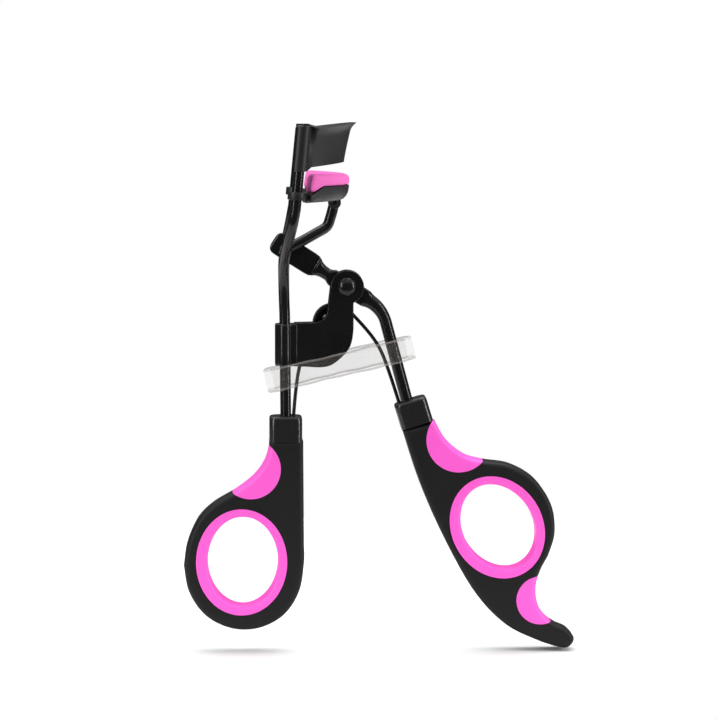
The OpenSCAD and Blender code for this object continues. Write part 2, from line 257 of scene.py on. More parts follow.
def soft_finish(name, colour, deep, rough, thick):
    """Coloured rubber that light enters a little, with painted shade: darker where the shade
    attribute says.
    """
    made, tree, shader, place = new_finish(name)
    cloud = noise(tree, place, 120.0)
    grain = noise(tree, place, 3600.0, 3.0)
    set_inputs(shader, {
        "Base Color": mix_colour(tree, 0.08 * cloud + 0.9 * shade_of(tree), colour, deep),
        "Roughness": rough + 0.06 * cloud + 0.05 * grain,
        "Normal": bump(tree, grain, 0.12, 0.00005),
        "Subsurface Weight": thick, "Subsurface Radius": (1.0, 0.35, 0.7),
        "Subsurface Scale": 0.0008})
    return made


def clear_finish(name, tint):
    """Clear elastic plastic, cloudier along its rims."""
    made, tree, shader, place = new_finish(name)
    cloud = noise(tree, place, 220.0)
    ripple = noise(tree, place, 700.0, 2.0)
    set_inputs(shader, {
        "Base Color": mix_colour(tree, cloud, tint, [c * 0.94 for c in tint]),
        "Roughness": 0.10 + 0.08 * cloud,
        "Alpha": 0.06 + 0.03 * cloud + 0.26 * shade_of(tree),
        "Normal": bump(tree, ripple, 0.08, 0.0001)})
    return made


def floor_finish():
    made, tree, shader, place = new_finish("studio_floor")
    cloud = noise(tree, place, 3.0)
    set_inputs(shader, {
        "Base Color": mix_colour(tree, cloud, (0.93, 0.93, 0.93), (0.95, 0.95, 0.95)),
        "Roughness": 0.8 + 0.1 * cloud, "Specular IOR Level": 0.1})
    return made


def finish_named(name):
    """One of the object's finishes, made when it is first asked for."""
    if name in bpy.data.materials:
        return bpy.data.materials[name]
    colours = bpy.context.scene.curler_colours
    enamel = tuple(colours.enamel)
    accent = tuple(colours.accent)
    makers = {
        "frame_enamel": lambda: enamel_finish(name, enamel, 0.19, 0.08, 0.16),
        "jaw_enamel": lambda: enamel_finish(name, enamel, 0.30, 0.10, 0.0),
        "socket_gloss": lambda: enamel_finish(name, enamel, 0.15, 0.05, 0.2),
        "spring_oxide": lambda: enamel_finish(name, enamel, 0.30, 0.12, 0.1),
        "grip_rubber": lambda: grip_finish(name, tuple(colours.grip)),
        "accent_rubber": lambda: soft_finish(name, accent, [c * 0.6 for c in accent], 0.42, 0.12),
        # The pad's deep red is its painted shade, laid on where the shade attribute says.
        "pad_silicone": lambda: soft_finish(name, tuple(colours.pad), (0.62, 0.0, 0.045), 0.3, 0.3),
        "band_clear": lambda: clear_finish(name, tuple(colours.band)),
    }
    return makers[name]()


# ---- shape helpers ----


def to_frame(p):
    """A point about the pivot, in millimetres, to the frame's metres."""
    return ((p[0] + PIVOT[0]) * MM, (p[1] + PIVOT[1]) * MM, (p[2] + PIVOT[2]) * MM)


def new_object(name, data):
    """Makes an object and puts it in the scene."""
    made = bpy.data.objects.new(name, data)
    bpy.context.scene.collection.objects.link(made)
    return made


def piece(name, finish, points, faces, sharp=38.0, shade=()):
    """Makes an object from points about the pivot, closed and facing outwards."""
    mesh = bpy.data.meshes.new(name)
    mesh.from_pydata([to_frame(p) for p in points], [], faces)
    if shade:
        mesh.attributes.new("shade", "FLOAT", "POINT").data.foreach_set("value", shade)
    return tidy_mesh(new_object(name, mesh), finish, sharp)


def tidy_mesh(made, finish, sharp):
    """Joins a mesh's doubled points, turns its faces outwards and gives it its finish."""
    mesh = made.data
    work = bmesh.new()
    work.from_mesh(mesh)
    bmesh.ops.remove_doubles(work, verts=work.verts, dist=2e-7)
    bmesh.ops.recalc_face_normals(work, faces=work.faces)
    work.to_mesh(mesh)
    work.free()
    mesh.polygons.foreach_set("use_smooth", [True] * len(mesh.polygons))
    mesh.set_sharp_from_angle(angle=math.radians(sharp))
    mesh.materials.clear()
    mesh.materials.append(finish_named(finish))
    return made


def settle(made, body, slot, *nodes):
    """Puts a finished piece on its body, in place of its CAD nodes."""
    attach(made, body)
    if nodes:
        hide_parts(*nodes)


def loft(rows, capped=True):
    """Points and faces of a skin over rows of points, each row a closed ring."""
    count = len(rows[0])
    points = [tuple(p) for row in rows for p in row]
    faces = []
    for i in range(len(rows) - 1):
        for j in range(count):
            k = (j + 1) % count
            faces.append((i * count + j, i * count + k, (i + 1) * count + k, (i + 1) * count + j))
    if capped:
        faces.append(tuple(range(count)))
        faces.append(tuple((len(rows) - 1) * count + j for j in reversed(range(count))))
    return points, faces


def join(*parts):
    """Several sets of points and faces as one."""
    points, faces = [], []
    for more_points, more_faces in parts:
        start = len(points)
        points += more_points
        faces += [tuple(i + start for i in face) for face in more_faces]
    return points, faces


def smooth_path(guides, steps):
    """A smooth run through guide points."""
    g = [np.array(p, float) for p in guides]
    out = []
    for i in range(len(g) - 1):
        a, b, c, d = g[max(i - 1, 0)], g[i], g[i + 1], g[min(i + 2, len(g) - 1)]
        for k in range(steps):
            t = k / steps
            out.append(0.5 * (2 * b + (c - a) * t + (2 * a - 5 * b + 4 * c - d) * t * t
                              + (3 * b - a - 3 * c + d) * t ** 3))
    return out + [g[-1]]


def arc(centre, radius, a0, a1, steps):
    """Points of an arc between two angles in degrees."""
    angles = np.radians(np.linspace(a0, a1, steps + 1))
    return [(centre[0] + radius * math.cos(a), centre[1] + radius * math.sin(a)) for a in angles]


def oval(centre, size, tilt, count):
    """Points of a turned ellipse."""
    out = []
    for a in np.radians(np.linspace(0, 360, count, endpoint=False)):
        x, z = size[0] * math.cos(a), size[1] * math.sin(a)
        out.append((centre[0] + x * math.cos(tilt) - z * math.sin(tilt),
                    centre[1] + x * math.sin(tilt) + z * math.cos(tilt)))
    return out


def clamp(value):
    return max(0.0, min(1.0, value))


def shrunk(section, k):
    """A closed section scaled about the middle of its points."""
    mid = np.mean(section, axis=0)
    return [tuple(mid + (np.array(p) - mid) * k) for p in section]


def even(points, step, closed=False):
    """The same line with its points a step apart."""
    p = np.array(points, float)
    if closed:
        p = np.vstack([p, p[:1]])
    run = np.concatenate([[0], np.cumsum(np.linalg.norm(np.diff(p, axis=0), axis=1))])
    count = max(2, int(round(run[-1] / step)) + 1)
    at = np.linspace(0, run[-1], count)
    out = np.column_stack([np.interp(at, run, p[:, k]) for k in range(p.shape[1])])
    return out[:-1] if closed else out


def distance(points, starts, ends):
    """Distance of each point from the nearest of some line pieces."""
    d = ends - starts
    length = np.maximum((d * d).sum(1), 1e-12)
    best = np.full(len(points), 1e9)
    for a, v, n in zip(starts, d, length):
        t = np.clip(((points - a) @ v) / n, 0, 1)
        best = np.minimum(best, np.linalg.norm(points - a - t[:, None] * v, axis=1))
    return best


def inside(points, loops):
    """Which points lie inside the loops, by the even and odd rule."""
    result = np.zeros(len(points), bool)
    x, z = points[:, 0], points[:, 1]
    for loop in loops:
        nxt = np.roll(loop, -1, axis=0)
        for (x0, z0), (x1, z1) in zip(loop, nxt):
            crosses = (z0 > z) != (z1 > z)
            if z0 == z1:
                continue
            result ^= crosses & (x < (x1 - x0) * (z - z0) / (z1 - z0) + x0)
    return result


def rounded(depth, radius):
    """How far a rounded edge falls below the face at a depth from the edge."""
    power = 2.2
    t = np.clip(1 - depth / radius, 0, 1)
    return radius * (1 - (1 - t ** power) ** (1 / power))


def moulding(name, finish, loops, half_t, edge, grid=1.3):
    """A moulded plate. Each loop is (points, open): open points are edges that show and are
    rounded, and the others meet a neighbour in a fine groove."""
    outlines = [np.array(points, float) for points, _ in loops]
    starts = np.vstack(outlines)
    ends = np.vstack([np.roll(p, -1, axis=0) for p in outlines])
    flags = [np.array(is_open, bool) for _, is_open in loops]
    shows = np.concatenate([f & np.roll(f, -1) for f in flags])

    extra = []
    for p in outlines:
        t = np.roll(p, -1, axis=0) - np.roll(p, 1, axis=0)
        t /= np.maximum(np.linalg.norm(t, axis=1), 1e-9)[:, None]
        normal = np.column_stack([-t[:, 1], t[:, 0]])
        normal[~inside(p + normal * 0.02, outlines)] *= -1
        for depth in RING_DEPTHS:
            ring = p + normal * depth
            clear = distance(ring, starts, ends) > depth * 0.93
            extra.append(ring[inside(ring, outlines) & clear])
    lo, hi = starts.min(axis=0), starts.max(axis=0)
    gx, gz = np.meshgrid(np.arange(lo[0], hi[0], grid), np.arange(lo[1], hi[1], grid))
    cells = np.column_stack([gx.ravel(), gz.ravel()])
    cells = cells[inside(cells, outlines)]
    extra.append(cells[distance(cells, starts, ends) > 2.0])

    edges, first = [], 0
    for p in outlines:
        edges += [(first + i, first + (i + 1) % len(p)) for i in range(len(p))]
        first += len(p)
    verts, _, tris, source, _, _ = delaunay_2d_cdt(
        [Vector(v) for v in np.vstack(outlines + extra)], edges, [], 0, 1e-5)
    flat = np.array([(v.x, v.y) for v in verts])
    tris = np.array([t for t in tris if len(t) == 3])
    tris = tris[inside(flat[tris].mean(axis=1), outlines)]
    at = {old: new for new, olds in enumerate(source) for old in olds}

    seam = distance(flat, starts[~shows], ends[~shows])
    half = half_t - (rounded(distance(flat, starts[shows], ends[shows]), edge)
                     + GROOVE * (1 - np.clip(seam / (GROOVE * 1.4), 0, 1)) ** 2)
    count = len(flat)
    points = [(x, -h, z) for (x, z), h in zip(flat, half)]
    points += [(x, h, z) for (x, z), h in zip(flat, half)]
    faces = [tuple(t) for t in tris] + [tuple(i + count for i in reversed(t)) for t in tris]
    first = 0
    for p in outlines:
        columns = []
        for i in range(first, first + len(p)):
            v = at[i]
            columns.append([v, *range(len(points), len(points) + len(WALL_LEVELS)), v + count])
            points += [(flat[v][0], level * half[v], flat[v][1]) for level in WALL_LEVELS]
        first += len(p)
        for a, b in zip(columns, columns[1:] + columns[:1]):
            faces += [(a[k], b[k], b[k + 1], a[k + 1]) for k in range(len(a) - 1)]
    return piece(name, finish, points, [tuple(int(i) for i in f) for f in faces], 50.0)


def band_section(a, b, r, steps=5):
    """A rounded rectangle with half sizes a and b, as (across, deep) points."""
    r = min(r, a, b)
    out = []
    for corner, (sx, sy) in enumerate(((1, 1), (-1, 1), (-1, -1), (1, -1))):
        for k in range(steps + 1):
            angle = math.radians(90 * corner + 90 * k / steps)
            out.append((sx * (a - r) + r * math.cos(angle), sy * (b - r) + r * math.sin(angle)))
    return out


def lathe(profile, centre, sides):
    """A turned shape about a line along Y; the profile holds (radius, y) points."""
    rows = []
    for r, y in profile:
        rows.append([(centre[0] + r * math.cos(a), y, centre[1] + r * math.sin(a))
                     for a in np.linspace(0, 2 * math.pi, sides, endpoint=False)])
    return loft(rows)


# ---- swept wires ----


def wire_tree():
    """Node tree that sweeps a round wire along a line of edges."""
    if "swept_wire" in bpy.data.node_groups:
        return bpy.data.node_groups["swept_wire"]
    tree = bpy.data.node_groups.new("swept_wire", "GeometryNodeTree")
    face = tree.interface
    for label, kind in (("Line", "Geometry"), ("Radius", "Float"), ("Sides", "Int"),
                        ("Finish", "Material")):
        face.new_socket(label, in_out="INPUT", socket_type="NodeSocket" + kind)
    face.new_socket("Wire", in_out="OUTPUT", socket_type="NodeSocketGeometry")
    given = add_node(tree, "NodeGroupInput")
    curve = add_node(tree, "GeometryNodeMeshToCurve", None, {"Mesh": given[0]})[0]
    width = add_node(tree, "GeometryNodeInputNamedAttribute", {"data_type": "FLOAT"},
                     {"Name": "width"})[0]
    ring = add_node(tree, "GeometryNodeCurvePrimitiveCircle", None,
                    {"Resolution": given[2], "Radius": given[1]})[0]
    tube = add_node(tree, "GeometryNodeCurveToMesh", None,
                    {"Curve": curve, "Profile Curve": ring, "Scale": width, "Fill Caps": True})[0]
    solid = add_node(tree, "GeometryNodeRealizeInstances", None, {"Geometry": tube})[0]
    done = add_node(tree, "GeometryNodeSetMaterial", None,
                    {"Geometry": solid, "Material": given[3]})[0]
    add_node(tree, "NodeGroupOutput", None, {0: done})
    return tree


def swept_wire(name, finish, path, radius, round_end=False):
    """A wire along a path about the pivot, with its end rounded where that shows."""
    path = [np.array(p, float) for p in path]
    width = [1.0] * len(path)
    if round_end:
        tip = path[-1]
        way = (path[-2] - tip) / np.linalg.norm(path[-2] - tip)
        turns = [math.radians(a) for a in (90, 65, 45, 25, 5)]
        path[-1:] = [tip + way * radius * 0.7 * (1 - math.cos(a)) for a in turns]
        width[-1:] = [math.sin(a) for a in turns]
    mesh = bpy.data.meshes.new(name)
    mesh.from_pydata([to_frame(p) for p in path], [(i, i + 1) for i in range(len(path) - 1)], [])
    mesh.attributes.new("width", "FLOAT", "POINT").data.foreach_set("value", width)
    made = new_object(name, mesh)
    sweep = made.modifiers.new("sweep", "NODES")
    sweep.node_group = wire_tree()
    named = {s.name: s.identifier for s in sweep.node_group.interface.items_tree
             if s.in_out == "INPUT"}
    sweep[named["Radius"]] = radius * MM
    sweep[named["Sides"]] = bpy.context.scene.curler_sizes.wire_sides
    sweep[named["Finish"]] = finish_named(finish)
    solid = bpy.data.meshes.new_from_object(
        made.evaluated_get(bpy.context.evaluated_depsgraph_get()))
    made.modifiers.clear()
    made.data = solid
    solid.name = name
    return tidy_mesh(made, finish, 60.0)


# ---- frame ----


def frame_line(side):
    """Middle line of a frame wire, from inside the socket to its tip."""
    bend = smooth_path([(-14.1, side * 1.3, -3.5), (-14.2, side * 2.6, 1.5), (-14.1, side * 6, 6),
                        (-13.3, side * 11, 10.5), (-12.4, side * 14.4, 14.6),
                        (WIRE_KNEE[0], side * WIRE_OUT, WIRE_KNEE[1])], 10)
    low = [(-13.76, -34), (-13.8, -28), (-13.9, -17), (-14.0, -6)]
    top = [(-10.9, 27.3), (-10.06, 36.0)]
    return ([(x, side * WIRE_IN, z) for x, z in low] + bend
            + [(x, side * WIRE_OUT, z) for x, z in top])


def wire_at(z):
    """X of the frame wires' straight top stretch at a height."""
    return WIRE_KNEE[0] + (z - WIRE_KNEE[1]) * WIRE_RUN[0] / WIRE_RUN[1]


class CURLER_OT_frame_wires(bpy.types.Operator):
    """Make the two frame wires"""

    bl_idname = "curler.frame_wires"
    bl_label = "Frame wires"

    def execute(self, context):
        radius = context.scene.curler_sizes.wire_radius
        for name, side in (("frame_wire_near", -1), ("frame_wire_far", 1)):
            made = swept_wire(name, "frame_enamel", frame_line(side), radius, round_end=True)
            settle(made, "frame", "black_enamel",
                   "frame_wire_front" if side < 0 else "frame_wire_back")
        return {"FINISHED"}


# ---- jaws ----


def leaned(p):
    """A point of the jaws' own frame, leaned and moved to its place about the pivot."""
    x, z = p[0] - JAW_R, p[2]
    s, c = math.sin(JAW_LEAN), math.cos(JAW_LEAN)
    return (JAW_CENTRE_X + JAW_R + x * c + z * s, p[1], JAW_Z - x * s + z * c)


def opened(p):
    """Sets a point of the lower jaw down along the wires and tips it about the guide eyes."""
    x = p[0] - GUIDE[0] - JAW_DOWN * math.sin(WIRE_LEAN)
    z = p[2] - GUIDE[1] - JAW_DOWN * math.cos(WIRE_LEAN)
    s, c = math.sin(JAW_TIP), math.cos(JAW_TIP)
    return (GUIDE[0] + x * c + z * s, p[1], GUIDE[1] - x * s + z * c)


def jaw_flare(z):
    """How far the upper jaw's outer face stands out at a height."""
    rise = 1.15 * (max(z, 0) / 7.6) ** 1.25
    lip = 0.95 * max(0.0, (z - 7.5) / 1.7) ** 1.6
    return rise + lip


def fold_point(angle, ring, z):
    """A point of the sheet's fold round the far wire."""
    a = math.radians(angle)
    return (wire_at(z) + ring * math.cos(a), WIRE_OUT + ring * math.sin(a), z)


def upper_jaw_rows():
    """Rows across the plate, from one fold round the curve to the other fold."""
    heights = list(np.linspace(0.25, 7.4, 12)) + [7.9, 8.3, 8.65, 8.95, 9.2]
    drop = 1.0 - math.cos(math.radians(JAW_END))
    half = JAW_T / 2
    around = [("fold", FOLD_FROM - k * FOLD_STEP) for k in range(FOLD_STEPS + 1)]
    around += [("turn", t) for t in (0.25, 0.5, 0.75)]
    around += [("arc", a) for a in np.linspace(JAW_END, 0, 34)]
    both = [(*row, 1) for row in around] + [(*row, -1) for row in reversed(around[:-1])]
    rows = []
    for kind, value, side in both:
        row = []
        for face in (1, -1):
            for z in heights[::face]:
                fold_z = JAW_Z - 2.0 + z * 1.12
                ring = FOLD_R + face * FOLD_HALF
                if kind == "fold":
                    p = fold_point(value, ring, fold_z)
                else:
                    a = math.radians(JAW_END if kind == "turn" else value)
                    r = JAW_R - half + jaw_flare(z) + face * half
                    sag = 0.22 + (1.0 - math.cos(a)) / drop * (1.25 + 0.03 * z)
                    p = leaned((r * math.cos(a), r * math.sin(a), z - sag))
                if kind == "turn":
                    q = fold_point(FOLD_FROM - FOLD_STEPS * FOLD_STEP, ring, fold_z)
                    p = tuple(u + (v - u) * value for u, v in zip(q, p))
                row.append((p[0], p[1] * side, p[2]))
        rows.append(row)
    return rows


class CURLER_OT_upper_jaw(bpy.types.Operator):
    """Make the curved upper jaw with its flared lip and its folds round the wires"""

    bl_idname = "curler.upper_jaw"
    bl_label = "Upper jaw"

    def execute(self, context):
        made = piece("upper_jaw_plate", "jaw_enamel", *loft(upper_jaw_rows()), 60.0)
        soften = made.modifiers.new("soften", "BEVEL")
        soften.width = 0.16 * MM
        soften.segments = 3
        soften.limit_method = "ANGLE"
        soften.angle_limit = math.radians(50)
        settle(made, "frame", "jaw_enamel", "upper_jaw")
        return {"FINISHED"}


def hang(a):
    """How far the lobes at the pad's ends hang down at an angle round the jaws' curve."""
    return 1.75 * clamp((abs(a) - 47.5) / 10.5)


def droop(a, most):
    """How far the jaws' ends lie below their middle."""
    return most * (1.0 - math.cos(math.radians(a))) / 0.42


def jaw_sweep(section, stations):
    """Sweeps a section of (radius, height) points through stations of (angle, scale)."""
    rows = []
    mid = np.mean(section, axis=0)
    for a, k in stations:
        rad = math.radians(a)
        row = []
        for r, z in section:
            z = z - droop(a, 1.2) - hang(a) * clamp((z + 6.0) / 1.5)
            r2, z2 = mid[0] + (r - mid[0]) * k, mid[1] + (z - mid[1]) * k
            row.append(opened(leaned((r2 * math.cos(rad), r2 * math.sin(rad), z2))))
        rows.append(row)
    return rows


def cut_corners(points):
    """A closed line with its corners cut twice, which rounds it."""
    keep = 0.25
    p = np.array(points, float)
    for _ in range(2):
        nxt = np.roll(p, -1, axis=0)
        p = np.stack([p * (1 - keep) + nxt * keep, p * keep + nxt * (1 - keep)],
                     axis=1).reshape(-1, 2)
    return p


def guide_tube(side):
    """A guide eye: a short tube round the wire with rounded rims."""
    rows = []
    inner, outer, half = 1.58, 2.05, 0.9
    profile = [(outer - 0.2, -half), (outer - 0.05, -half + 0.05), (outer, -half + 0.2),
               (outer, half - 0.2), (outer - 0.05, half - 0.05), (outer - 0.2, half),
               (inner + 0.1, half), (inner, half - 0.1), (inner, -half + 0.1),
               (inner + 0.1, -half)]
    s, c = math.sin(WIRE_LEAN), math.cos(WIRE_LEAN)
    for a in np.linspace(0, 2 * math.pi, 40, endpoint=False):
        rows.append([(GUIDE[0] + r * math.cos(a) * c + h * s, side * WIRE_OUT + r * math.sin(a),
                      GUIDE[1] - 0.5 + h * c - r * math.cos(a) * s) for r, h in profile])
    rows.append(rows[0])
    return loft(rows, capped=False)


def block(low, high, round_by):
    """A small block with rounded upright edges and softened top and bottom."""
    cx, cy = (low[0] + high[0]) / 2, (low[1] + high[1]) / 2
    a, b = (high[0] - low[0]) / 2, (high[1] - low[1]) / 2
    soft = ((0, round_by * 0.6), (round_by * 0.2, round_by * 0.15), (round_by * 0.6, 0))
    levels = [(low[2] + dz, cut) for dz, cut in soft]
    levels += [(high[2] - dz, cut) for dz, cut in reversed(soft)]
    return loft([[(cx + x, cy + y, z) for x, y in band_section(a - cut, b - cut, round_by, 3)]
                 for z, cut in levels])


def lug(side):
    """A rounded lug that carries the push rod's pin."""
    outline = arc(JAW_PIVOT, 1.35, 180, 360, 18) + [(JAW_PIVOT[0] + 1.4, JAW_PIVOT[1] + 1.9),
                                                    (JAW_PIVOT[0] - 1.4, JAW_PIVOT[1] + 2.2)]
    y0, y1 = sorted((side * 1.25, side * 2.15))
    return loft([[(x, y, z) for x, z in shrunk(outline, k)]
                 for y, k in ((y0, 0.9), (y0 + 0.12, 1.0), (y1 - 0.12, 1.0), (y1, 0.9))])


class CURLER_OT_lower_jaw(bpy.types.Operator):
    """Make the channel of the lower jaw with its guide eyes, lugs and pin"""

    bl_idname = "curler.lower_jaw"
    bl_label = "Lower jaw holder"

    def execute(self, context):
        inner, outer, rim, floor = 14.1, 17.7, -3.1, -6.6
        section = [(inner, rim), (inner, rim - 1.6), (inner + 0.05, floor + 0.5),
                   (inner + 0.5, floor), (outer - 1.7, floor), (outer - 0.9, floor + 0.35),
                   (outer - 0.35, floor + 1.1), (outer - 0.05, rim - 1.5), (outer, rim),
                   (outer - 0.2, rim + 0.12), (outer - 0.45, rim), (outer - 0.6, rim - 0.5),
                   (outer - 0.7, rim - 1.8), (inner + 0.7, rim - 1.8), (inner + 0.6, rim - 0.5),
                   (inner + 0.45, rim), (inner + 0.2, rim + 0.12)]
        ends = [(0.0, 0.86), (0.15, 0.95), (0.6, 0.99)]
        full = ([(d - CHANNEL_END, k) for d, k in ends]
                + [(a, 1.0) for a in np.linspace(1.5 - CHANNEL_END, CHANNEL_END - 1.5, 70)]
                + [(CHANNEL_END - d, k) for d, k in reversed(ends)])
        channel = loft(jaw_sweep(section, full))
        parts = [channel]
        for side in (-1, 1):
            y0, y1 = sorted((side * 12.2, side * 14.4))
            parts += [guide_tube(side), lug(side),
                      block((GUIDE[0] + 0.7, y0, GUIDE[1] - 1.3),
                            (GUIDE[0] + 3.5, y1, GUIDE[1] + 0.2), 0.3)]
        made = piece("lash_pad_channel", "jaw_enamel", *join(*parts), 42.0)
        settle(made, "lower_jaw", "jaw_enamel", "jaw_holder")
        pin = piece("jaw_rivet_pin", "frame_enamel", *lathe(
            [(0.02, -2.3), (0.45, -2.28), (0.62, -2.22), (0.7, -2.12), (0.7, 2.12),
             (0.62, 2.22), (0.45, 2.28), (0.02, 2.3)], JAW_PIVOT, 24))
        settle(pin, "lower_jaw", "black_enamel", "jaw_pin")
        return {"FINISHED"}


class CURLER_OT_lash_pad(bpy.types.Operator):
    """Make the rounded silicone pad with its end lobes"""

    bl_idname = "curler.lash_pad"
    bl_label = "Lash pad"

    def execute(self, context):
        crown = cut_corners([(14.35, -3.05), (14.2, -1.6), (14.75, -0.85), (15.6, -0.6),
                             (16.5, -0.66), (17.3, -1.05), (17.62, -1.75), (17.6, -3.05)])
        rows = []
        shades = []
        ends = [(2.9, 0.12), (2.75, 0.42), (2.4, 0.68), (1.8, 0.87), (1.0, 0.97)]
        full = ([(-PAD_END - d, k) for d, k in ends]
                + [(a, 1.0) for a in np.linspace(-PAD_END, PAD_END, 90)]
                + [(PAD_END + d, k) for d, k in reversed(ends)])
        mid = np.mean(crown, axis=0)
        for a, k in full:
            rad = math.radians(a)
            row = []
            for r, z in crown:
                low = clamp((-1.2 - z) / 1.9)
                r2 = mid[0] + (r - mid[0]) * k
                z2 = mid[1] + (z - mid[1]) * k - hang(a) * low * (0.5 + 0.5 * k)
                z2 -= droop(a, 0.7 + 0.5 * low)
                row.append(opened(leaned((r2 * math.cos(rad), r2 * math.sin(rad), z2))))
                # Painted shade: the pad's colour deepens towards the end lobes, most on their lower
                # side.
                edge = clamp((abs(a) - 53.5) / 5.0)
                shades.append(min(1.0, edge * (0.35 + 0.9 * low)))
            rows.append(row)
        points, faces = loft(rows)
        made = piece("lash_pad_silicone", "pad_silicone", points, faces, 70.0, shades)
        settle(made, "lower_jaw", "pad_silicone", "lash_pad")
        return {"FINISHED"}


# ---- hinge ----


def cheek_loop():
    ear = arc((0, 0), 3.8, -68, 176, 60)
    fillet = arc((-7.4, -4.9), 3.0, 0, -90, 14)
    toe = smooth_path([(-9.0, -17.85), (-6.0, -18.0), (-3.6, -17.5), (-1.3, -15.8), (0.35, -13.9),
                       (1.1, -11.9), (1.43, -9.3)], 6)
    return even(ear + fillet + [(-11.9, -8.0), (-12.2, -17.75)] + [tuple(p) for p in toe]
                + [(1.43, -6.0), (1.42, -4.0)], 0.42, closed=True)


def collar_outline():
    """The sheet's way round both wires, seen from above."""
    near = arc((-15.7, -1.3), 0.5, 180, 250, 5) + arc((-14.1, -1.75), 1.5, 205, 318, 14)
    near += [(-12.6, -2.34), (-12.0, -2.36)] + arc((-11.6, -1.9), 0.5, 270, 355, 6)
    return near + [(x, -y) for x, y in reversed(near)]


class CURLER_OT_hinge(bpy.types.Operator):
    """Make the folded hinge bracket and its rivet"""

    bl_idname = "curler.hinge"
    bl_label = "Hinge bracket and rivet"

    def execute(self, context):
        loop = cheek_loop()
        for name, side in (("hinge_cheek_near", -1), ("hinge_cheek_far", 1)):
            made = moulding(name, "frame_enamel", [(loop, [True] * len(loop))], 0.4, 0.22,
                            grid=1.6)
            for v in made.data.vertices:
                v.co.y += side * 1.85 * MM
            settle(made, "frame", "black_enamel")
        top, low = -8.2, -17.7
        soft = ((0, 0.86), (0.08, 0.94), (0.3, 0.99), (0.6, 1.0), (3.0, 1.0))
        levels = [(low + dz, k) for dz, k in soft] + [(top - dz, k) for dz, k in reversed(soft)]
        rows = [[(x, y, z) for x, y in shrunk(collar_outline(), k)] for z, k in levels]
        collar = piece("hinge_collar", "frame_enamel", *loft(rows), 48.0)
        settle(collar, "frame", "black_enamel", "hinge_bracket")
        dome = [(0.03, 1.02), (0.5, 0.99), (1.0, 0.87), (1.45, 0.66), (1.8, 0.4), (2.02, 0.16),
                (2.08, 0.0)]
        face = 2.27
        profile = [(r, -face - h) for r, h in dome] + [(1.1, -face), (1.1, face)]
        profile += [(r, face + h) for r, h in reversed(dome)]
        rivet = piece("pivot_rivet_domed", "frame_enamel", *lathe(profile, (-0.1, 0.15), 56), 40.0)
        settle(rivet, "frame", "black_enamel", "pivot_rivet")
        return {"FINISHED"}


class CURLER_OT_spring(bpy.types.Operator):
    """Make the torsion spring"""

    bl_idname = "curler.spring"
    bl_label = "Torsion spring"

    def execute(self, context):
        centre, total, start, reach = (-3.2, -8.0), 1210, 180, 0.97

        def coil(a, y):
            radius = 3.42 - 0.8 * y
            a = math.radians(a)
            return (centre[0] + radius * math.cos(a), y, centre[1] + radius * math.sin(a))

        left = smooth_path([(-12.2, -1.0, -32), (-12.0, -1.0, -28.4), (-11.5, -1.0, -23),
                            (-10.7, -1.0, -18), (-9.0, -0.98, -13.4), coil(start + 8, -reach)], 6)
        turns = [coil(start - total * t, (2 * t - 1) * reach) for t in np.linspace(0, 1, 201)[1:]]
        right = smooth_path([(0.4, 0.97, -5.3), (4.9, 0.97, -10.3), (7.5, 0.97, -14.2),
                             (9.4, 1.1, -19), (11.5, 1.3, -25.4), (12.9, 1.4, -30)], 6)
        made = swept_wire("torsion_spring_coil", "spring_oxide", left + turns + right,
                          context.scene.curler_sizes.spring_radius)
        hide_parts("torsion_spring")
        to_frame((1.7, 0, -15))
        to_frame((11.4, 0, -15))
        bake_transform(made)
        return {"FINISHED"}


class CURLER_OT_band(bpy.types.Operator):
    """Make the clear elastic band"""

    bl_idname = "curler.band"
    bl_label = "Elastic band"

    def execute(self, context):
        slope = math.radians(13)
        centre = (-1.7, -17.35)
        half_h, rim_r = 2.6, 0.3
        outer = even(band_section(17.0, 4.2, 2.6, 14), 0.5, closed=True)
        inner_line = even(band_section(15.4, 3.2, 1.9, 14), 0.45, closed=True)
        inner = []
        for p in outer:
            gap = np.linalg.norm(inner_line - p, axis=1)
            inner.append(inner_line[int(np.argmin(gap))])
        rows, shades = [], []
        for o, i in zip(outer, np.array(inner)):
            way = (i - o) / np.linalg.norm(i - o)
            wave = 0.06 * math.sin(o[0] * 0.9 + o[1]) + 0.05 * math.sin(o[0] * 0.33 - 1.0)
            h = half_h + wave
            section = []
            for p, sign in ((o, 1), (i, -1)):
                rim = [(rim_r, h), (rim_r * 0.3, h - rim_r * 0.3), (0, h - rim_r),
                       (-0.02, h - rim_r - 0.3)]
                side = rim + [(-0.06, 0)] + [(inset, -z) for inset, z in reversed(rim)]
                if sign < 0:
                    side = side[::-1]
                for inset, z in side:
                    q = p + way * inset * sign
                    section.append((centre[0] + q[0] * math.cos(slope) - z * math.sin(slope), q[1],
                                    centre[1] + q[0] * math.sin(slope) + z * math.cos(slope)))
                    shades.append(1.0 if abs(z) > half_h - 0.4 else 0.0)
            rows.append(section)
        rows.append(rows[0])
        shades += shades[:len(rows[0])]
        made = piece("clear_band", "band_clear", *loft(rows, capped=False), 75.0, shades)
        settle(made, "frame", "clear_band", "elastic_band")
        return {"FINISHED"}


# ---- lever and push rod ----


def blend_between(x, table):
    """A smooth value at x between (x, value) pairs."""
    for (x0, v0), (x1, v1) in zip(table, table[1:]):
        if x <= x1:
            t = clamp((x - x0) / (x1 - x0))
            t = t * t * (3 - 2 * t)
            return v0 + (v1 - v0) * t
    return table[-1][1]


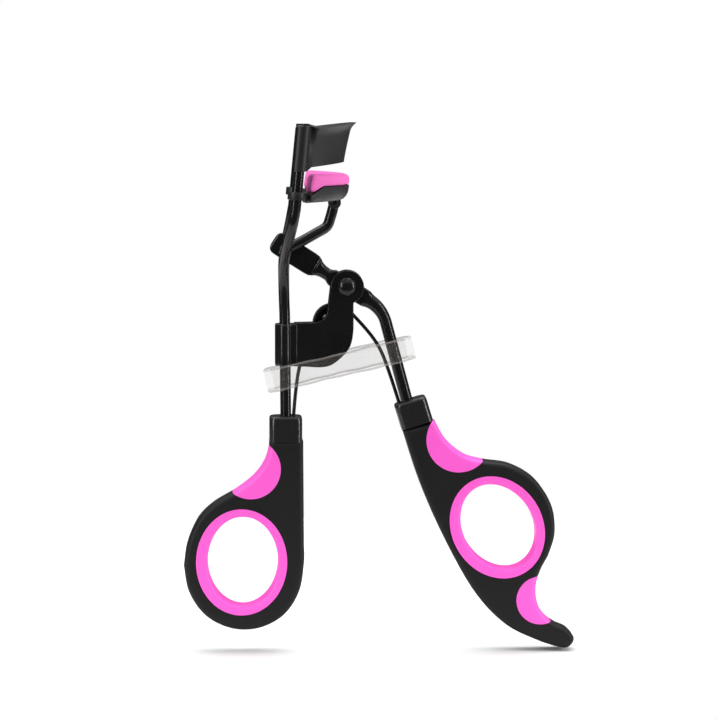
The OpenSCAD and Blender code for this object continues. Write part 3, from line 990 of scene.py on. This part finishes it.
def lever_rows():
    """Sections of the forged lever from the paddle's end down into the socket."""
    h = (math.cos(ARM_SLOPE), -math.sin(ARM_SLOPE))
    arm_end, bend_r, rod_r = 6.3, 8, 1.36
    tip_from, tip_long, tip_power = -17.2, 2.4, 3.4
    stations = [-19.6, -19.57, -19.5, -19.35, -19.05, -18.6, -18.0, -17.2, -15, -12, -10, -9.2,
                -8.9, -8.7, -8.5, -8.3, -8.15, -8.0, -7.8, -7.5, -7.1, -6.4, -5.6, -5.2, -4.8,
                -4.5, -4.2, -3.8, -3, -1.5, 0, 1.5, 3, 4.4, 4.75, 4.9, 5.05, 5.2, 5.5, 5.9, 6.3]
    wide = [(-9.8, 2.6), (-8.8, 2.5), (-8.2, 2.2), (-7.5, 1.75), (-6.7, 1.45), (-5.2, 1.38),
            (-3.6, 1.95), (4.9, 1.95), (6.3, 1.62)]
    deep = [(-8.6, 0.65), (-8.0, 1.2), (-7.1, 1.35), (-5.4, 1.35), (-4.4, 1.25), (4.8, 1.25),
            (5.15, 1.36)]
    corner = [(-8.9, 0.3), (-7.9, 0.9), (-7.0, 1.35), (-5.4, 1.35), (-4.0, 0.45), (4.7, 0.45),
              (5.2, 1.36)]
    rows = []
    for s in stations:
        a = blend_between(s, wide)
        b = blend_between(s, deep)
        if s < tip_from:
            a *= max(0.0, 1 - ((tip_from - s) / tip_long) ** tip_power) ** (1 / tip_power)
        if s < -19.2:
            b = b - 0.28 * (-19.2 - s) / 0.4
        section = band_section(a, b, blend_between(s, corner))
        rows.append([(s * h[0] - u * h[1], v, s * h[1] + u * h[0]) for u, v in section])
    centre = (arm_end * h[0] + bend_r * h[1], arm_end * h[1] - bend_r * h[0])
    rod = []
    for a in np.linspace(math.pi / 2 - ARM_SLOPE, math.pi / 2 - ROD_SLOPE, 13)[1:]:
        rod.append((centre[0] + bend_r * math.cos(a), centre[1] + bend_r * math.sin(a), a))
    down = (math.cos(ROD_SLOPE), -math.sin(ROD_SLOPE))
    x, z, a = rod[-1]
    rod += [(x + down[0] * d, z + down[1] * d, a) for d in (4, 8, 12, 16, 20, 24)]
    for i, (x, z, a) in enumerate(rod):
        thick = 1.35 + 0.2 * max(0.0, 1 - i / 8)
        rows.append([(x + u * math.cos(a), v, z + u * math.sin(a))
                     for u, v in band_section(thick, rod_r, rod_r)])
    return rows


class CURLER_OT_lever(bpy.types.Operator):
    """Make the forged lever with its flat paddle and round rod"""

    bl_idname = "curler.lever"
    bl_label = "Lever"

    def execute(self, context):
        made = piece("lever_forged", "frame_enamel", *loft(lever_rows()), 40.0)
        settle(made, "lever", "black_enamel", "lever_rod")
        return {"FINISHED"}


class CURLER_OT_push_rod(bpy.types.Operator):
    """Make the bent push rod with its eye and headed crank"""

    bl_idname = "curler.push_rod"
    bl_label = "Push rod"

    def execute(self, context):
        line = smooth_path([(-2.9, 0, 18.6), (-3.7, 0, 15.6), (-4.6, 0, 13.5), (-6.9, -0.9, 12.1),
                            (-10.5, -1.92, 10.15), (-13.0, -2.12, 8.9), (-14.3, -2.15, 8.25)], 12)
        made = swept_wire("push_rod_bent", "frame_enamel", line,
                          context.scene.curler_sizes.wire_radius, round_end=True)
        settle(made, "push_rod", "black_enamel", "push_rod")
        eye = lathe([(0.72, -1.0), (1.25, -1.0), (1.42, -0.9), (1.45, -0.7), (1.45, 0.7),
                     (1.42, 0.9), (1.25, 1.0), (0.72, 1.0)], JAW_PIVOT, 40)
        crank = lathe([(0.02, -3.3), (0.7, -3.27), (1.1, -3.12), (1.3, -2.85), (1.3, -1.0),
                       (1.15, -0.78), (0.8, -0.75), (0.8, 0.75), (1.2, 0.76), (1.25, 0.85),
                       (1.1, 1.08), (0.7, 1.2), (0.02, 1.25)], LINK_PIVOT, 40)
        ends = piece("push_rod_ends", "frame_enamel", *join(eye, crank), 45.0)
        settle(ends, "push_rod", "black_enamel")
        return {"FINISHED"}


# ---- handles ----


def split_by_circle(line, centre, radius):
    """The parts of a line before, inside and after a circle."""
    p = np.array(line, float)
    far = np.linalg.norm(p - np.array(centre), axis=1) - radius
    cuts = [i for i in range(len(p) - 1) if far[i] * far[i + 1] <= 0]
    i, j = cuts[0], cuts[-1]
    a = p[i] + (p[i + 1] - p[i]) * far[i] / (far[i] - far[i + 1])
    b = p[j] + (p[j + 1] - p[j]) * far[j] / (far[j] - far[j + 1])
    return (np.vstack([p[:i + 1], a]), np.vstack([a, p[i + 1:j + 1], b]),
            np.vstack([b, p[j + 1:]]))


def angle_of(centre, p):
    return math.degrees(math.atan2(p[1] - centre[1], p[0] - centre[0]))


def marked(*runs):
    """Joins runs of (points, open, step) into one loop with its open flags."""
    points, flags = [], []
    for run, is_open, step in runs:
        line = even(run, step)
        body = line[:-1]
        points += [tuple(p) for p in body]
        flags += [is_open] * len(body)
    return points, [now or before for now, before in zip(flags, flags[-1:] + flags[:-1])]


def arc_run(centre, radius, p, q, clockwise):
    """Points of an arc from p to q about a centre."""
    a, b = angle_of(centre, p), angle_of(centre, q)
    if clockwise:
        while b > a:
            b -= 360
    else:
        while b < a:
            b += 360
    return arc(centre, radius, a, b, 60)


def left_loops():
    """Outer loop of the left grip and the loop of its thumb inset."""
    bay = smooth_path([(-17.5, -34.4), (-17.7, -36.4), (-18.7, -39.4), (-21.0, -42.5),
                       (-24.8, -45.5), (-30.0, -48.6), (-33.6, -52.2), (-36.0, -57.6),
                       (-36.8, -62.5)], 10)
    ring = smooth_path([(-36.8, -62.5), (-35.6, -68.6), (-31.9, -73.9), (-26.2, -76.8),
                        (-20.0, -76.8), (-14.4, -73.9), (-10.9, -68.6), (-9.75, -62.0),
                        (-9.75, -58.0)], 10)
    before, edge, after = split_by_circle(bay, *THUMB_INSET)
    up, low = edge[0], edge[-1]
    outer = marked(
        (before, True, 0.4), (arc_run(*THUMB_INSET, up, low, True), False, 0.5),
        (np.vstack([after, ring[1:]]), True, 0.55),
        ([ring[-1], (-9.9, -34.6), (-10.1, -34.4), (-17.5, -34.4)], True, 0.6))
    inset = marked((edge, True, 0.4), (arc_run(*THUMB_INSET, low, up, False), False, 0.4))
    return outer, inset


def right_loops():
    """Outer loop of the right grip and the loops of its two insets."""
    outside = smooth_path([(12.4, -32.1), (16.4, -44.3), (22.1, -57.2), (28.9, -69.1),
                           (36.0, -76.4), (44.0, -80.3)], 14)
    outside += smooth_path([(44.0, -80.3), (49.2, -81.6), (51.2, -79.6), (49.6, -77.4),
                            (47.2, -76.3)], 10)[1:]
    tail_bay = smooth_path([(47.2, -76.3), (44.7, -74.5), (42.9, -71.4), (42.5, -67.6),
                            (43.5, -64.0), (45.3, -60.6)], 10)
    finger_bay = smooth_path([(45.3, -60.6), (46.75, -55.4), (45.9, -49.1), (42.2, -43.4),
                              (36.6, -40.1), (30.6, -39.1), (26.4, -37.9), (22.4, -34.7),
                              (19.75, -30.2)], 16)
    foot, tail_edge, knee = split_by_circle(tail_bay, *TAIL_INSET)
    # This bay ends inside its circle, so it crosses the circle once.
    back, _, finger_edge = split_by_circle(finger_bay, *FINGER_INSET)
    tip = finger_edge[-1]
    t_low, t_up = tail_edge[0], tail_edge[-1]
    outer = marked(
        (np.vstack([outside, foot[1:]]), True, 0.5),
        (arc_run(*TAIL_INSET, t_low, t_up, True), False, 0.45),
        (np.vstack([knee, back[1:]]), True, 0.5),
        (arc_run(*FINGER_INSET, back[-1], tip, True), False, 0.45),
        ([tip, (12.4, -32.1)], True, 0.5))
    tail = marked((tail_edge, True, 0.4), (arc_run(*TAIL_INSET, t_up, t_low, False), False, 0.4))
    finger = marked((finger_edge, True, 0.4),
                    (arc_run(*FINGER_INSET, tip, back[-1], False), False, 0.4))
    return outer, finger, tail


def liner_loops(centre, tilt):
    outside = oval(centre, LINER, tilt, 130)
    hole = oval(np.add(centre, HOLE_SHIFT), HOLE, tilt, 110)
    return [(outside, [False] * len(outside)), (hole, [True] * len(hole))]


class CURLER_OT_grips(bpy.types.Operator):
    """Make the two moulded handle grips"""

    bl_idname = "curler.grips"
    bl_label = "Grips"

    def execute(self, context):
        edge = context.scene.curler_sizes.edge_round
        for name, outer, centre, tilt, body in (
                ("grip_left", left_loops()[0], LEFT_RING, 0.0, "frame"),
                ("grip_right", right_loops()[0], RIGHT_RING, RING_TILT, "lever")):
            seat = oval(centre, LINER, tilt, 130)
            made = moulding(name, "grip_rubber", [outer, (seat, [False] * len(seat))],
                            GRIP_HALF, edge)
            settle(made, body, "grip_matte", "left_grip" if body == "frame" else "right_grip")
        return {"FINISHED"}


class CURLER_OT_insets(bpy.types.Operator):
    """Make the soft insets and the finger ring liners"""

    bl_idname = "curler.insets"
    bl_label = "Insets and liners"

    def execute(self, context):
        sizes = context.scene.curler_sizes
        _, finger, tail = right_loops()
        for name, loop, body, node in (
                ("thumb_inset", left_loops()[1], "frame", "left_thumb_inset"),
                ("finger_inset", finger, "lever", "right_finger_inset"),
                ("tail_inset", tail, "lever", "right_tail_inset")):
            made = moulding(name, "accent_rubber", [loop], INSET_HALF, sizes.edge_round)
            settle(made, body, "pink_soft", node)
        for name, centre, tilt, body, node in (
                ("ring_liner_left", LEFT_RING, 0.0, "frame", "left_ring_liner"),
                ("ring_liner_right", RIGHT_RING, RING_TILT, "lever", "right_ring_liner")):
            made = moulding(name, "accent_rubber", liner_loops(centre, tilt), LINER_HALF,
                            sizes.liner_round)
            settle(made, body, "pink_soft", node)
        return {"FINISHED"}


class CURLER_OT_sockets(bpy.types.Operator):
    """Make the two glossy sockets between the rods and the grips"""

    bl_idname = "curler.sockets"
    bl_label = "Sockets"

    def execute(self, context):
        for name, top, tilt, body, node in (
                ("socket_left", (-13.8, -28.95), 0.0, "frame", "left_socket"),
                ("socket_right", (14.05, -25.4), math.radians(17), "lever", "right_socket")):
            rows = []
            for down, cut in ((0, 0.8), (0.05, 0.5), (0.18, 0.22), (0.42, 0.06), (0.8, 0),
                              (3.0, 0), (5.45, 0), (5.9, 0.0), (6.1, 1.2)):
                row = []
                for u, v in band_section(3.68 - cut, 3.9 - cut, 1.5, 8):
                    row.append((top[0] + u * math.cos(tilt) + down * math.sin(tilt), v,
                                top[1] + u * math.sin(tilt) - down * math.cos(tilt)))
                rows.append(row)
            made = piece(name, "socket_gloss", *loft(rows), 50.0)
            settle(made, body, "socket_gloss", node)
        return {"FINISHED"}


# ---- studio ----


def aimed(thing, place, way):
    """Puts a lamp or a camera at a place and turns it to look along a way."""
    thing.location = place
    thing.rotation_euler = way.to_track_quat("-Z", "Y").to_euler()


def softbox(name, place, aim, size, power):
    """A rectangular lamp that shines at a point."""
    light = bpy.data.lights.new(name, "AREA")
    light.shape = "RECTANGLE"
    light.size, light.size_y = size
    light.energy = power
    aimed(new_object(name, light), place, Vector(aim) - Vector(place))


class CURLER_OT_stage(bpy.types.Operator):
    """Set the pale floor, the soft lights and the camera"""

    bl_idname = "curler.stage"
    bl_label = "Studio"

    def execute(self, context):
        scene = context.scene
        mesh = bpy.data.meshes.new("studio_floor")
        mesh.from_pydata([(-0.3, -0.09, 0), (0.3, -0.09, 0), (0.3, 0.25, 0), (-0.3, 0.25, 0)], [],
                         [(0, 1, 2, 3)])
        mesh.materials.append(floor_finish())
        floor = new_object("studio_floor", mesh)
        floor.location.z = -0.0002

        world = bpy.data.worlds.new("studio")
        world.use_nodes = True
        tree = world.node_tree
        sky = tree.nodes["Background"]
        way = add_node(tree, "ShaderNodeTexCoord")[0]
        height = add_node(tree, "ShaderNodeSeparateXYZ", None, {0: way})[2]
        glow = add_node(tree, "ShaderNodeMapRange", {"interpolation_type": "SMOOTHSTEP"},
                        {0: height, 1: 0.3, 2: 0.9, 3: 0.07, 4: 1.3})[0]
        seen = add_node(tree, "ShaderNodeLightPath")[0]
        set_inputs(sky, {"Strength": glow * (1 - seen) + seen, "Color": (1, 1, 1, 1)})
        scene.world = world

        softbox("left_softbox", (-0.62, -0.5, 0.32), (0, 0, 0.07), (0.05, 0.7), 3.5)
        softbox("right_softbox", (0.75, -0.32, 0.28), (0, 0, 0.06), (0.055, 0.7), 4.0)
        softbox("top_softbox", (0.0, 0.2, 0.9), (0, 0.1, 0.0), (0.8, 0.5), 4.2)
        scene.view_settings.view_transform = "Standard"

        around, above, away = math.radians(-1.8), math.radians(4.5), 0.86
        back = Vector((math.sin(around) * math.cos(above), -math.cos(around) * math.cos(above),
                       math.sin(above)))
        across = Vector((math.cos(around), math.sin(around), 0))
        aim = Vector(to_frame((0, 0, 0))) + 0.0027 * across - 0.01645 * back.cross(across)
        lens = bpy.data.cameras.new("studio_camera")
        lens.sensor_width = 36
        lens.lens = 191.5
        lens.clip_start, lens.clip_end = 0.05, 20
        scene.camera = new_object("studio_camera", lens)
        aimed(scene.camera, aim + back * away, -back)
        return {"FINISHED"}


class CURLER_PT_panel(bpy.types.Panel):
    """Lists the pieces of the curler"""

    bl_label = "Eyelash curler"
    bl_idname = "CURLER_PT_panel"
    bl_space_type = "VIEW_3D"
    bl_region_type = "UI"
    bl_category = "Curler"

    def draw(self, context):
        for group in (context.scene.curler_sizes, context.scene.curler_colours):
            for name in group.__annotations__:
                self.layout.prop(group, name)
        for step in STEPS:
            self.layout.operator(step.bl_idname)


STEPS = (
    CURLER_OT_stage, CURLER_OT_frame_wires, CURLER_OT_upper_jaw, CURLER_OT_lower_jaw,
    CURLER_OT_lash_pad, CURLER_OT_hinge, CURLER_OT_spring, CURLER_OT_band, CURLER_OT_lever,
    CURLER_OT_push_rod, CURLER_OT_sockets, CURLER_OT_grips, CURLER_OT_insets,
)
CLASSES = (CurlerSizes, CurlerColours, *STEPS, CURLER_PT_panel)


def register():
    for cls in CLASSES:
        bpy.utils.register_class(cls)
    bpy.types.Scene.curler_sizes = bpy.props.PointerProperty(type=CurlerSizes)
    bpy.types.Scene.curler_colours = bpy.props.PointerProperty(type=CurlerColours)


def unregister():
    del bpy.types.Scene.curler_colours
    del bpy.types.Scene.curler_sizes
    for cls in reversed(CLASSES):
        bpy.utils.unregister_class(cls)


def main():
    register()
    for step in STEPS:
        group, name = step.bl_idname.split(".")
        getattr(getattr(bpy.ops, group), name)()
    bpy.context.view_layer.update()


if __name__ == "__main__":
    main()
